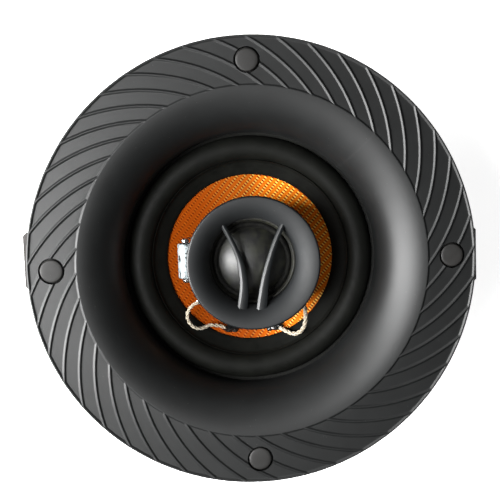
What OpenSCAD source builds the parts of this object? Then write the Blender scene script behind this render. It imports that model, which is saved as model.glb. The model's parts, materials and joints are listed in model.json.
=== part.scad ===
// Two-way coaxial car loudspeaker, 165 mm class, with a horn-shaped bezel.
// Millimetres. +Z points out of the front along the speaker's axis.
// The origin is the centre of the mounting plane, the rear face of the gasket.

/* [Bezel] */
// Outside diameter of the bezel
bezel_d = 165; // [160:0.5:170]
// Height of the bezel's crest above the mounting plane
crest_z = 9.5; // [8.5:0.1:10.5]
// Height of the bezel's outer rim above the mounting plane
rim_z = 7.5; // [7:0.1:8]
// Radius of the crest, where the horn begins
crest_r = 65.6; // [64.5:0.1:66]
// Radius of the horn's quarter-round wall
horn_r = 17.8; // [17.4:0.1:18]
// Thickness of the bezel's wall
bezel_wall = 2; // [1.6:0.1:2.2]

/* [Swirl pattern] */
// Number of raised ribs on the bezel's ring
rib_count = 45; // [36:1:50]
// Angle that a rib sweeps from its inner to its outer end
rib_sweep = 21; // [15:1:25]
// Angle of the first rib's inner end
rib_start = 5; // [0:0.5:8]
// Width of a rib's top
rib_w = 1.3; // [1:0.1:1.6]
// Depth of the pockets between the ribs
pocket_depth = 0.6; // [0.4:0.1:0.9]

/* [Fixing] */
// Diameter of the circle that the four screw holes lie on
screw_pcd = 147; // [146:0.5:148]
// Radius of each screw hole
screw_hole_r = 2.25; // [2:0.05:2.5]
// Radius of the recess for a screw's head and cap
cap_recess_r = 4.6; // [4.5:0.05:5]
// Clear radius left in the panel for the basket
cutout_r = 61; // [60.5:0.5:61.5]

/* [Cone] */
// Radius of the cone's outer edge
cone_r = 36.8; // [36.4:0.1:37]
// Height of the cone's outer edge
cone_edge_z = -12.2; // [-12.6:0.1:-12]
// Height of the cone's neck
cone_neck_z = -25.5; // [-26:0.1:-24]
// Thickness of the cone, measured along the axis
cone_t = 0.7; // [0.5:0.1:0.9]
// Inside radius of the surround's flange, which covers the cone's edge
cover_r = 31.8; // [31:0.1:33]

/* [Motor] */
// Inside radius of the voice coil's former
former_r = 12.75; // [12.7:0.05:12.85]
// Thickness of the ferrite ring
magnet_t = 12; // [10:0.5:14]
// Radius of the ferrite ring
magnet_r = 37.5; // [36.5:0.5:38]

/* [Tweeter] */
// Radius of the tweeter housing's rim
tweeter_r = 24.6; // [24:0.1:25]
// Radius of the tweeter housing's barrel
barrel_r = 21.4; // [21:0.1:21.8]
// Height of the tweeter housing's rim above the mounting plane
tweeter_z = 9.5; // [8:0.1:10]
// Radius of the tweeter's dome
dome_r = 12.5; // [12.3:0.1:12.6]
// Height of the two fins' front edges
fin_z = 6.6; // [6:0.1:7]

/* [Hidden] */
$fn = 96;
eps = 0.05;
flange_z0 = 2;
flange_z1 = 3.5;
sheet_t = 1.4;
flange_r = 80.5;
ear_x = 83.8;
ear_w = 21;
ear_cut = 1.2;
ear_y = [3.5, -0.5];
ear_clear = 0.4;
skirt_z = 1.2;
bezel_r = bezel_d / 2;
rim_lip = 0.6;
pocket_r0 = crest_r - 1.2;
pocket_r1 = bezel_r - rim_lip;
horn_c = [crest_r, crest_z - horn_r];
throat_r = crest_r - horn_r;
seat_z = -12.6;
surround_t = 0.7;
throat_end_z = seat_z + surround_t;
seat_r0 = 45.3;
seat_r1 = 53.2;
leg_r0 = 42;
ledge_z = -28.75;
ledge_r0 = 35;
floor_z = -36;
plate_z1 = floor_z - sheet_t;
plate_z0 = plate_z1 - 5;
magnet_z0 = plate_z0 - magnet_t;
yoke_z0 = magnet_z0 - 5;
boot_z0 = yoke_z0 - 1.5;
boot_r = magnet_r + 1.8;
boot_top_z = plate_z0 - 1.2;
pole_r = 12.4;
pole_z = plate_z1 + 0.5;
post_r = 7.5;
former_t = 0.2;
winding_t = 0.45;
gap_r = former_r + former_t + winding_t + 0.4;
window_count = 6;
leg_deg = 19;
window_z0 = ledge_z + 2.2;
window_z1 = seat_z - sheet_t - 1.6;
cap_seat_z = 4.6;
cap_top_z = 8.6;
roll_r = 4.7;
roll_c = 42;
spider_z = ledge_z + 0.3;
spider_t = 0.5;
spider_r = 39;
corrugation = 0.9;
cup_z0 = -9.2;
cup_z1 = -7.6;
horn2_r = 8;
throat2_r = tweeter_r - 0.3 - horn2_r;
motor_r = 16.1;
capacitor_pos = [-24.75, 0.6, -4];
capacitor_r = 3.1;
capacitor_len = 13;
lug_deg = [217.7, -42.4];
lug_w = 2.6;
lug_r1 = 26.6;
glue_pos = [[-9, -28], [9, -28]];
glue_r = 1.9;
eyelet_r = 1.1;
board_x = 13;
board_z1 = ledge_z - sheet_t;
board_t = 1.6;
blade_t = 0.8;
blade_z1 = board_z1 - board_t;
blade_end_y = -59;
lead_r = 0.6;
dome_z = -1.2;
dome_h = 3.9;

// ---- shared shapes ----

function polar(r, a) = [r * cos(a), r * sin(a)];
function unit(v) = v / norm(v);

// Height of the bezel's top surface at radius r
function top_z(r) = crest_z - (crest_z - rim_z) * (r - crest_r) / (bezel_r - crest_r);

// Height of the cone's front surface at radius r
cone_slope = (cone_edge_z - cone_neck_z) / (cone_r - former_r - former_t);
function cone_z(r) = cone_edge_z - cone_slope * (cone_r - r);

module ring(r0, r1, z0, z1) {
    translate([0, 0, z0])
        difference() {
            cylinder(r = r1, h = z1 - z0);
            translate([0, 0, -1])
                cylinder(r = r0, h = z1 - z0 + 2);
        }
}

module at_screws() {
    for (i = [0:3])
        rotate(90 * i)
            translate([screw_pcd / 2, 0, 0])
                children();
}

module screw_holes(z0, z1, r = screw_hole_r) {
    at_screws()
        translate([0, 0, z0])
            cylinder(r = r, h = z1 - z0);
}

// Points of a smooth curve through a route's points, with steps points in each span
function spline_point(a, b, c, d, t) =
    (2 * b + (c - a) * t + (2 * a - 5 * b + 4 * c - d) * t * t
    + (3 * b - a - 3 * c + d) * t * t * t) / 2;
function smooth(p, steps) = [
    for (i = [0:len(p) - 2], k = [0:steps - 1])
        spline_point(p[max(i - 1, 0)], p[i], p[i + 1], p[min(i + 2, len(p) - 1)], k / steps),
    p[len(p) - 1]
];
function tangents(p) = [
    for (i = [0:len(p) - 1]) unit(p[min(i + 1, len(p) - 1)] - p[max(i - 1, 0)])
];
function carried(t, n, i) =
    i >= len(t) ? [] :
    let (m = unit(n - (n * t[i]) * t[i]))
    concat([m], carried(t, m, i + 1));

// Closed tube of eight sides along the points p
module tube(p, r) {
    sides = 8;
    t = tangents(p);
    n = carried(t, abs(t[0].z) < 0.7 ? [0, 0, 1] : [1, 0, 0], 0);
    points = [
        for (i = [0:len(p) - 1], k = [0:sides - 1])
            let (a = 360 * k / sides)
            p[i] + r * (cos(a) * n[i] + sin(a) * cross(t[i], n[i]))
    ];
    last = (len(p) - 1) * sides;
    walls = [
        for (i = [0:len(p) - 2], k = [0:sides - 1])
            let (j = (k + 1) % sides)
            [i * sides + j, i * sides + k, (i + 1) * sides + k, (i + 1) * sides + j]
    ];
    first_end = [for (k = [0:sides - 1]) k];
    last_end = [for (k = [sides - 1:-1:0]) last + k];
    polyhedron(points, concat(walls, [first_end], [last_end]));
}

// ---- frame ----

// Flange with an ear on each side, the left one higher than the right one
module flange_outline() {
    half = ear_w / 2;
    circle(r = flange_r);
    for (i = [0, 1])
        translate([0, ear_y[i]])
            mirror([1 - i, 0])
                polygon([
                    [0, -half],
                    [ear_x - ear_cut, -half],
                    [ear_x, ear_cut - half],
                    [ear_x, half - ear_cut],
                    [ear_x - ear_cut, half],
                    [0, half]
                ]);
}

// Stamped steel frame: flange, shoulder, surround seat, legs, spider ledge and floor
module basket() {
    color([0.07, 0.07, 0.07])
        difference() {
            union() {
                translate([0, 0, flange_z0])
                    linear_extrude(flange_z1 - flange_z0)
                        difference() {
                            flange_outline();
                            circle(r = cutout_r - 1.5);
                        }
                rotate_extrude()
                    polygon([
                        [cutout_r, flange_z0],
                        [seat_r1, seat_z - sheet_t],
                        [leg_r0 + sheet_t, ledge_z],
                        [leg_r0 + sheet_t, ledge_z - sheet_t],
                        [ledge_r0 + sheet_t, ledge_z - sheet_t],
                        [ledge_r0 + sheet_t, plate_z1],
                        [gap_r + 1.2, plate_z1],
                        [gap_r + 1.2, floor_z],
                        [ledge_r0, floor_z],
                        [ledge_r0, ledge_z],
                        [leg_r0, ledge_z],
                        [seat_r1 - sheet_t, seat_z - sheet_t],
                        [seat_r0, seat_z - sheet_t],
                        [seat_r0, seat_z],
                        [seat_r1 - sheet_t, seat_z],
                        [cutout_r - sheet_t, flange_z0],
                        [cutout_r - sheet_t, flange_z1],
                        [cutout_r, flange_z1]
                    ]);
                terminal_shelf();
            }
            screw_holes(flange_z0 - 1, flange_z1 + 1);
            for (i = [0:window_count - 1])
                rotate(360 * i / window_count)
                    window();
            at_rivets()
                cylinder(r = rivet_r, h = 10, center = true);
            translate([0, rivet_y, board_z1 - 1])
                cylinder(r = rivet_r, h = 4);
        }
}

// Wedge that opens one window in the basket's legs
module window() {
    half = 180 / window_count - leg_deg / 2;
    reach = 60;
    translate([0, 0, window_z0])
        linear_extrude(window_z1 - window_z0)
            polygon([
                polar(ledge_r0 + 2, -half),
                polar(reach, -half),
                polar(reach / cos(half), 0),
                polar(reach, half),
                polar(ledge_r0 + 2, half)
            ]);
}

shelf_w = 13.2;
shelf_y = -48.8;
rivet_r = 1.5;
rivet_y = -46.2;

module terminal_shelf() {
    translate([-shelf_w / 2, shelf_y, board_z1])
        cube([shelf_w, -shelf_y - leg_r0 + 1, sheet_t]);
}

module rear_gasket() {
    color([0.12, 0.12, 0.12])
        difference() {
            ring(cutout_r + 0.5, flange_r - 1, 0, flange_z0);
            screw_holes(-1, flange_z0 + 1);
        }
}

rivet_pcd_r = 26;

module at_rivets() {
    for (i = [0:3])
        rotate(45 + 90 * i)
            translate([rivet_pcd_r, 0, plate_z1])
                children();
}

// Four rivets that hold the basket's floor on the top plate
module basket_rivets() {
    color("silver")
        at_rivets() {
            translate([0, 0, -3])
                cylinder(r = rivet_r, h = 3 + sheet_t);
            translate([0, 0, sheet_t])
                cylinder(r = 2.6, h = 0.8);
        }
}

// ---- bezel ----

module bezel_profile() {
    under = pocket_depth + 1.3;
    difference() {
        translate(horn_c)
            circle(r = horn_r, $fn = 180);
        translate(horn_c)
            circle(r = horn_r - bezel_wall, $fn = 180);
        translate([horn_c.x, horn_c.y - 30])
            square(60);
        translate([0, horn_c.y - 60])
            square([100, 60]);
    }
    translate([throat_r, throat_end_z])
        square([bezel_wall, horn_c.y - throat_end_z + eps]);
    polygon([
        [crest_r - eps, crest_z],
        [crest_r, crest_z],
        [bezel_r - 0.5, top_z(bezel_r - 0.5)],
        [bezel_r, rim_z - 0.5],
        [bezel_r, skirt_z],
        [flange_r + 0.3, skirt_z],
        [flange_r + 0.3, flange_z1],
        [flange_r - 1.2, flange_z1],
        [flange_r - 1.2, rim_z - under - 0.4],
        [crest_r - eps, crest_z - under - 0.4]
    ]);
}

// Outline of the pocket that follows rib number i
module pocket(i) {
    step = 360 / rib_count;
    cuts = 4;
    span = pocket_r1 - pocket_r0;
    // a rib crosses the circles at a slant, so it covers more of each than its width
    function slant(r) = sqrt(1 + pow(r * rib_sweep * PI / 180 / span, 2));
    function half_rib(r) = rib_w * slant(r) / 2 / r * 180 / PI;
    function middle(r) = rib_start + step * i + rib_sweep * (r - pocket_r0) / span;
    function radius(k) = pocket_r0 + span * k / cuts;
    lower = [for (k = [0:cuts]) polar(radius(k), middle(radius(k)) + half_rib(radius(k)))];
    upper = [for (k = [cuts:-1:0]) polar(radius(k), middle(radius(k)) + step - half_rib(radius(k)))];
    outer_mid = polar(pocket_r1, middle(pocket_r1) + step / 2);
    inner_mid = polar(pocket_r0, middle(pocket_r0) + step / 2);
    polygon(concat(lower, [outer_mid], upper, [inner_mid]));
}

// Layer of the ring, between its top surface and the pockets' floors
module pocket_layer() {
    rotate_extrude()
        polygon([
            [pocket_r0 - 1, top_z(pocket_r0 - 1) - pocket_depth],
            [bezel_r, top_z(bezel_r) - pocket_depth],
            [bezel_r, crest_z + 2],
            [pocket_r0 - 1, crest_z + 2]
        ]);
}

module front_bezel() {
    color([0.16, 0.17, 0.17])
        difference() {
            union() {
                rotate_extrude()
                    bezel_profile();
                at_screws()
                    translate([0, 0, flange_z1])
                        cylinder(r = 6.4, h = cap_top_z - flange_z1 - 1.6);
            }
            intersection() {
                translate([0, 0, rim_z - 3])
                    linear_extrude(8)
                        for (i = [0:rib_count - 1])
                            pocket(i);
                pocket_layer();
            }
            screw_holes(cap_seat_z, crest_z + 1, cap_recess_r);
            screw_holes(flange_z1 - 1, cap_seat_z + 1);
            for (i = [0, 1])
                translate([(2 * i - 1) * bezel_r, ear_y[i], (skirt_z + flange_z1) / 2 - 1])
                    cube([8, ear_w + 2 * ear_clear, flange_z1 - skirt_z + 2], center = true);
        }
}

// Push-in cap that hides a fixing screw, drawn at the first screw hole
module screw_cap() {
    skirt_r = cap_recess_r - 0.08;
    color([0.2, 0.2, 0.19])
        translate([screw_pcd / 2, 0, 0])
            difference() {
                union() {
                    translate([0, 0, cap_seat_z + 0.02])
                        cylinder(r = skirt_r, h = 2.4);
                    translate([0, 0, cap_seat_z + 2])
                        cylinder(r = cap_recess_r - 0.5, h = cap_top_z - cap_seat_z - 2);
                }
                translate([0, 0, cap_seat_z - 1])
                    cylinder(r = skirt_r - 0.9, h = cap_top_z - cap_seat_z - 0.2);
            }
}

module screw_cap_right() {
    screw_cap();
}

module screw_cap_top() {
    rotate(90)
        screw_cap();
}

module screw_cap_left() {
    rotate(180)
        screw_cap();
}

module screw_cap_bottom() {
    rotate(270)
        screw_cap();
}

// ---- woofer motor ----

module top_plate() {
    color("silver")
        difference() {
            ring(gap_r, magnet_r - 2, plate_z0, plate_z1);
            at_rivets()
                translate([0, 0, -3])
                    cylinder(r = rivet_r, h = 5);
        }
}

module ferrite_magnet() {
    color([0.2, 0.2, 0.2])
        ring(18, magnet_r, magnet_z0, plate_z0);
}

bolt_r = 2.5;
bolt_head_r = 4.6;

// Back plate and pole in one piece, with a hole for the post's bolt
module yoke() {
    color("silver")
        difference() {
            union() {
                translate([0, 0, yoke_z0])
                    cylinder(r = magnet_r - 2, h = magnet_z0 - yoke_z0);
                translate([0, 0, yoke_z0])
                    cylinder(r = pole_r, h = pole_z - yoke_z0);
            }
            translate([0, 0, yoke_z0 - 1])
                cylinder(r = bolt_r, h = pole_z - yoke_z0 + 2);
            translate([0, 0, yoke_z0 - 1])
                cylinder(r = bolt_head_r + 0.2, h = 4.4);
        }
}

// Rubber boot round the magnet, which the speaker also stands on
module magnet_boot() {
    color([0.08, 0.08, 0.08])
        rotate_extrude()
            polygon([
                [0, boot_z0],
                [boot_r - 1.5, boot_z0],
                [boot_r, boot_z0 + 1.5],
                [boot_r, boot_top_z],
                [magnet_r, boot_top_z],
                [magnet_r, magnet_z0],
                [magnet_r - 2, magnet_z0],
                [magnet_r - 2, yoke_z0],
                [0, yoke_z0]
            ]);
}

module post_bolt() {
    color("silver") {
        translate([0, 0, yoke_z0 + 0.2])
            cylinder(r = bolt_head_r, h = 3.2);
        translate([0, 0, yoke_z0 + 3.4])
            cylinder(r = bolt_r - 0.2, h = 24);
    }
}

bolt_top_z = yoke_z0 + 27.4;

module tweeter_post() {
    color([0.1, 0.1, 0.1])
        difference() {
            union() {
                translate([0, 0, pole_z])
                    cylinder(r = 11.4, h = 2.4);
                translate([0, 0, pole_z])
                    cylinder(r = post_r, h = cup_z0 - pole_z);
            }
            translate([0, 0, pole_z - 1])
                cylinder(r = bolt_r - 0.2, h = bolt_top_z - pole_z + 1);
        }
}

// ---- moving woofer parts ----

module below_cone(gap = 0) {
    rotate_extrude()
        polygon([
            [0, cone_z(0) + gap],
            [cone_r, cone_edge_z + gap],
            [cone_r, -40],
            [0, -40]
        ]);
}

module cone() {
    color([0.85, 0.35, 0.05])
        difference() {
            rotate_extrude()
                polygon([
                    [former_r + former_t, cone_neck_z],
                    [cone_r, cone_edge_z],
                    [cone_r, cone_edge_z - cone_t],
                    [former_r + former_t, cone_neck_z - cone_t]
                ]);
            at_glue()
                cylinder(r = eyelet_r, h = 12, center = true);
        }
}

module at_glue() {
    for (p = glue_pos)
        translate([p.x, p.y, cone_z(norm(p))])
            children();
}

module lead_eyelets() {
    color("gold")
        at_glue()
            difference() {
                translate([0, 0, -2.2])
                    cylinder(r = eyelet_r, h = 3);
                translate([0, 0, -3])
                    cylinder(r = eyelet_r - 0.4, h = 5);
            }
}

module lead_glue() {
    color([0.05, 0.05, 0.05])
        difference() {
            at_glue()
                sphere(r = glue_r, $fn = 48);
            below_cone();
            at_glue()
                cylinder(r = eyelet_r, h = 1.6, center = true);
        }
}

former_z0 = plate_z0 - 2.2;

module voice_coil_former() {
    color("silver")
        ring(former_r, former_r + former_t, former_z0, cone_neck_z + 0.6);
}

module voice_coil_winding() {
    color([0.7, 0.35, 0.15])
        ring(former_r + former_t, former_r + former_t + winding_t, plate_z0 - 2, plate_z1 + 2);
}

// Half-roll rubber surround with a sloped inner flange and a flat outer flange
module surround() {
    glue_gap = 0.05;
    flange_t = 0.5;
    foot_z = cone_z(roll_c - roll_r) + glue_gap;
    color([0.13, 0.13, 0.13])
        rotate_extrude() {
            intersection() {
                difference() {
                    translate([roll_c, seat_z])
                        circle(r = roll_r);
                    translate([roll_c, seat_z])
                        circle(r = roll_r - surround_t);
                }
                translate([roll_c - roll_r, seat_z])
                    square([2 * roll_r, roll_r]);
            }
            translate([roll_c + roll_r - surround_t, seat_z])
                square([seat_r1 - sheet_t - 0.8 - roll_c - roll_r + surround_t, surround_t]);
            polygon([
                [cover_r, cone_z(cover_r) + glue_gap],
                [roll_c - roll_r + surround_t, cone_z(roll_c - roll_r + surround_t) + glue_gap],
                [roll_c - roll_r + surround_t, seat_z + flange_t + 1],
                [roll_c - roll_r, foot_z + flange_t + 0.2],
                [cover_r, cone_z(cover_r) + glue_gap + flange_t]
            ]);
        }
}

// Corrugated cloth disc that centres the voice coil
module spider() {
    r0 = former_r + former_t + 0.05;
    r1 = ledge_r0;
    waves = 5;
    cuts = 40;
    function r_at(k) = r0 + 1 + (r1 - r0 - 1) * k / cuts;
    function z_at(k) = spider_z + corrugation * sin(360 * waves * k / cuts);
    color([0.75, 0.6, 0.3])
        rotate_extrude()
            polygon(concat(
                [[r0, spider_z - 1], [r0, spider_z + 1.5], [r0 + 0.7, spider_z + 1.5]],
                [for (k = [0:cuts]) [r_at(k), z_at(k) + spider_t / 2]],
                [[spider_r, spider_z + spider_t / 2], [spider_r, ledge_z], [r1, ledge_z]],
                [for (k = [cuts:-1:0]) [r_at(k), z_at(k) - spider_t / 2]],
                [[r0 + 0.7, spider_z - 1]]
            ));
}

// ---- tweeter ----

module tweeter_profile() {
    c = [tweeter_r - 0.3, tweeter_z - horn2_r];
    difference() {
        translate(c)
            circle(r = horn2_r);
        translate(c)
            circle(r = horn2_r - 1.6);
        translate([c.x, c.y - 20])
            square(40);
        translate([0, c.y - 40])
            square([60, 40]);
    }
    translate([throat2_r, dome_z + 0.9])
        square([1.6, c.y - dome_z - 0.9 + eps]);
    polygon([
        [c.x - eps, tweeter_z],
        [tweeter_r, tweeter_z - 0.3],
        [tweeter_r, tweeter_z - 1.6],
        [barrel_r, 3.5],
        [barrel_r, cup_z1],
        [barrel_r - 1.6, cup_z1],
        [barrel_r - 1.6, 4.5],
        [c.x - eps, tweeter_z - 1.8]
    ]);
}

// Plan of a fin: its narrow front land, from the top end to the bottom end
left_land = [[-11.8, 14.2], [-8.2, 6.6], [-6, 0.2], [-5.2, -6.9], [-5.7, -12.3], [-6.8, -17.9]];
right_land = [[11, 14.9], [7.6, 7.8], [4.8, 0.2], [2.8, -6.5], [1.5, -12.6], [0.4, -19]];
land_w = 0.9;
face_w = [2.1, 2.2, 2.5, 2.9, 3.5, 4];

function shifted(p, w) = [for (i = [0:len(p) - 1]) p[i] + [is_list(w) ? w[i] : w, 0]];
function reversed(p) = [for (i = [len(p) - 1:-1:0]) p[i]];

module fin(land) {
    for (side = [[land_w, fin_z], [face_w, fin_z - 0.8]])
        translate([0, 0, 3.6])
            linear_extrude(side[1] - 3.6)
                polygon(concat(land, reversed(shifted(land, side[0]))));
}

// Horn-shaped front of the tweeter with two fins across its mouth
module tweeter_housing() {
    color([0.15, 0.16, 0.17]) {
        rotate_extrude()
            tweeter_profile();
        intersection() {
            union() {
                fin(left_land);
                fin(right_land);
            }
            cylinder(r = 18.6, h = 20);
        }
    }
}

module tweeter_cup() {
    color([0.1, 0.1, 0.1]) {
        translate([0, 0, cup_z0])
            cylinder(r = barrel_r, h = cup_z1 - cup_z0);
        ring(motor_r + 0.1, motor_r + 1.4, cup_z1 - eps, dome_z - 0.6);
    }
}

module tweeter_clamp_ring() {
    color([0.25, 0.25, 0.22])
        ring(14.8, motor_r, dome_z + 0.1, dome_z + 0.9);
}

module tweeter_yoke() {
    color("silver") {
        ring(13.3, motor_r, cup_z1 + 1.2, dome_z - 0.6);
        translate([0, 0, cup_z1])
            cylinder(r = motor_r, h = 1.2);
    }
}

module tweeter_magnet() {
    color("silver")
        translate([0, 0, cup_z1 + 1.2])
            cylinder(r = 11.2, h = 2.6);
}

module tweeter_pole_plate() {
    color("silver")
        translate([0, 0, cup_z1 + 3.8])
            cylinder(r = 11.9, h = 1.6);
}

// Soft edge of the dome
module tweeter_surround() {
    color([0.06, 0.06, 0.06])
        rotate_extrude() {
            translate([14.6, dome_z - 0.2])
                square([motor_r - 14.6, 0.3]);
            intersection() {
                difference() {
                    translate([13.7, dome_z - 0.2])
                        circle(r = 1);
                    translate([13.7, dome_z - 0.2])
                        circle(r = 0.7);
                }
                translate([12.7, dome_z - 0.2])
                    square([2, 1]);
            }
        }
}

// Dome with a thin shell, cut from two spheres
module tweeter_dome() {
    ball = (dome_r * dome_r + dome_h * dome_h) / (2 * dome_h);
    color([0.07, 0.07, 0.07])
        translate([0, 0, dome_z + dome_h - ball])
            difference() {
                sphere(r = ball, $fn = 120);
                sphere(r = ball - 0.3, $fn = 120);
                translate([-40, -40, ball - dome_h - 80])
                    cube(80);
            }
}

module tweeter_coil() {
    color([0.7, 0.35, 0.15])
        ring(dome_r - 0.25, dome_r + 0.1, cup_z1 + 2.4, dome_z);
}

// ---- wiring ----

module capacitor() {
    color([0.8, 0.85, 0.86])
        translate(capacitor_pos)
            rotate([90, 0, 0])
                cylinder(r = capacitor_r, h = capacitor_len, center = true);
}

// Wire at each end of the capacitor, bent down and in under the housing
module capacitor_leads() {
    half = capacitor_len / 2;
    c = capacitor_pos;
    color("silver")
        for (s = [-1, 1])
            tube(smooth([
                [c.x, c.y + s * half, c.z],
                [c.x, c.y + s * (half + 1), c.z],
                [c.x + 0.2, c.y + s * (half + 1.7), c.z - 1],
                [c.x + 1, c.y + s * (half + 1.7), c.z - 4],
                [c.x + 2.2, c.y + s * (half + 1.5), cup_z0 - 0.7],
                [c.x + 5, c.y + s * (half + 1), cup_z0 - 0.9]
            ], 3), 0.4);
}

module tweeter_lugs() {
    color("silver")
        for (a = lug_deg)
            rotate(a)
                translate([barrel_r - 5, -lug_w / 2, cup_z0 - 0.6])
                    cube([lug_r1 - barrel_r + 5, lug_w, 0.6]);
}

module terminal_board() {
    color([0.15, 0.1, 0.07])
        difference() {
            translate([-board_x, -53, board_z1 - board_t])
                cube([2 * board_x, 53 - leg_r0 - 1.6, board_t]);
            translate([0, rivet_y, board_z1 - 3])
                cylinder(r = rivet_r, h = 4);
            for (s = [-1, 1])
                translate([s * blade_x, blade_rivet_y, board_z1 - 3])
                    cylinder(r = rivet_r, h = 4);
        }
}

blade_x = 9.2;
blade_rivet_y = rivet_y - 2.8;
ear_reach = 6.2;

// One rivet into the basket's shelf, and one through each blade
module terminal_rivets() {
    color("silver") {
        translate([0, rivet_y, board_z1 - board_t - 0.8])
            cylinder(r = 2.6, h = 0.8);
        translate([0, rivet_y, board_z1 - board_t])
            cylinder(r = rivet_r, h = board_t + sheet_t);
        translate([0, rivet_y, board_z1 + sheet_t])
            cylinder(r = 2, h = 0.7);
        for (s = [-1, 1])
            translate([s * blade_x, blade_rivet_y, 0]) {
                translate([0, 0, blade_z1 - blade_t - 0.6])
                    cylinder(r = 2.2, h = 0.6);
                translate([0, 0, blade_z1 - blade_t])
                    cylinder(r = rivet_r, h = blade_t + board_t);
                translate([0, 0, board_z1])
                    cylinder(r = 2.2, h = 0.6);
            }
    }
}

// Flat blade under the board: a push-on tab outside and a solder ear at its side
module blade(x, w) {
    translate([0, 0, blade_z1 - blade_t])
        linear_extrude(blade_t)
            difference() {
                union() {
                    translate([x - 2.6, blade_rivet_y - 2.9])
                        square([5.2, 6.4]);
                    translate([x - w / 2, blade_end_y + 1])
                        square([w, 8]);
                    translate([x - w / 2 + 0.6, blade_end_y])
                        square([w - 1.2, 2]);
                    translate([min(x, x + sign(x) * ear_reach), blade_rivet_y - 1.6])
                        square([ear_reach, 3.2]);
                }
                translate([x, blade_rivet_y])
                    circle(r = rivet_r);
                translate([x, blade_end_y + 3.6])
                    circle(r = 0.7);
            }
}

module terminal_positive() {
    color([0.8, 0.7, 0.4])
        blade(-blade_x, 6.3);
}

module terminal_negative() {
    color([0.8, 0.7, 0.4])
        blade(blade_x, 4.8);
}

// Routes of the braided leads, chosen by hand
front_left_route = [
    [-20.8, -16, -8.4], [-23.2, -17.2, -8.2], [-25, -20.2, -9], [-24.6, -23.6, -9.6],
    [-22.4, -26, -10.2], [-19.6, -26.6, -11.4], [-16.6, -25.8, -12.8], [-13.4, -26.2, -13.9],
    [-10.7, -27.3, -14.9]
];
front_right_route = [
    [19.4, -17.8, -8.4], [20, -20.4, -8], [20.2, -24, -8.6], [19.4, -27.6, -9.2],
    [17.2, -29.8, -9.8], [14.8, -30, -11.2], [12.7, -29.2, -12.9], [10.7, -28.2, -14.7]
];
rear_left_route = [
    [-9, -28, -19.1], [-9.1, -28.5, -20.5], [-9.5, -30.5, -22.2], [-10.4, -33.5, -23.1],
    [-11.8, -38.4, -23], [-12.8, -43.4, -22.8], [-13.8, -47.4, -24.2], [-14.4, -49.6, -26.8],
    [-14.4, -50, -29.2], [-14.2, -49.4, -31.2]
];
function mirrored(p) = [for (q = p) [-q.x, q.y, q.z]];

module lead(route) {
    color([0.85, 0.8, 0.68])
        tube(smooth(route, 3), lead_r);
}

module front_lead_left() {
    lead(front_left_route);
}

module front_lead_right() {
    lead(front_right_route);
}

module rear_lead_left() {
    lead(rear_left_route);
}

module rear_lead_right() {
    lead(mirrored(rear_left_route));
}

basket();
rear_gasket();
front_bezel();
top_plate();
ferrite_magnet();
yoke();
magnet_boot();
basket_rivets();
tweeter_post();
post_bolt();
tweeter_housing();
tweeter_cup();
tweeter_clamp_ring();
tweeter_yoke();
tweeter_magnet();
tweeter_pole_plate();
tweeter_surround();
capacitor();
capacitor_leads();
tweeter_lugs();
terminal_board();
terminal_rivets();
terminal_positive();
terminal_negative();
surround();
spider();
front_lead_left();
front_lead_right();
rear_lead_left();
rear_lead_right();
cone();
voice_coil_former();
voice_coil_winding();
lead_eyelets();
lead_glue();
tweeter_dome();
tweeter_coil();
screw_cap_right();
screw_cap_top();
screw_cap_left();
screw_cap_bottom();
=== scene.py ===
# Looks of a two-way coaxial car speaker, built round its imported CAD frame.
# Shapes are worked out in millimetres and stored in metres, in the row frame:
# +Z points out of the speaker's front, and the origin is the mounting plane's centre.
import json
import math

import bmesh
import bpy
import numpy as np
from mathutils import Matrix, Vector


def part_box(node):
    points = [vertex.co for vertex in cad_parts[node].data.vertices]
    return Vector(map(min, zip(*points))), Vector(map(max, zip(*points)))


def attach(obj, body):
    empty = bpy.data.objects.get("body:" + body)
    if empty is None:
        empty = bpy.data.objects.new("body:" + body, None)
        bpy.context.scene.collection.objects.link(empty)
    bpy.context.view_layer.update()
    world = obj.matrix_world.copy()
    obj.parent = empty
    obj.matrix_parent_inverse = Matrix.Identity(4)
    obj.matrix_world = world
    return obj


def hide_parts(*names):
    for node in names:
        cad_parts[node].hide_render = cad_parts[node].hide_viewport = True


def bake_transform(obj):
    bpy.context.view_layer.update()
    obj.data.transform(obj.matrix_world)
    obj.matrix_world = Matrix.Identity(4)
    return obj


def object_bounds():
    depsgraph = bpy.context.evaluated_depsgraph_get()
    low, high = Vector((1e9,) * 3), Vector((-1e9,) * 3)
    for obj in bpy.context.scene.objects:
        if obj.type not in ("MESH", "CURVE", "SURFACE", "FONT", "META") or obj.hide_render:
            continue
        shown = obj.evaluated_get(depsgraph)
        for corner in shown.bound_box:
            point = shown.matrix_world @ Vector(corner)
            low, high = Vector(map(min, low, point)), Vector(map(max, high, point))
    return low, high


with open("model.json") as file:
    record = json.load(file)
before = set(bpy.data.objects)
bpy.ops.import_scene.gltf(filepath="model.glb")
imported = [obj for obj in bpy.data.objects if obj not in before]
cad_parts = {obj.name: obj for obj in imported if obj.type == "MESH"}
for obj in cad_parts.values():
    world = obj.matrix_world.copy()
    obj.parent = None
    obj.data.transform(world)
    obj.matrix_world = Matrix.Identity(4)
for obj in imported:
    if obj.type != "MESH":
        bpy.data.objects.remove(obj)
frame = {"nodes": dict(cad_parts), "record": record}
cad_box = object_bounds()
nodes = frame["nodes"]

MM = 0.001
TAU = 2 * math.pi


def extents(node):
    """A CAD node's lowest and highest corners, in millimetres."""
    low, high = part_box(node)
    return [v / MM for v in low], [v / MM for v in high]


# ---- driving dimensions, from the frame ----

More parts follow.
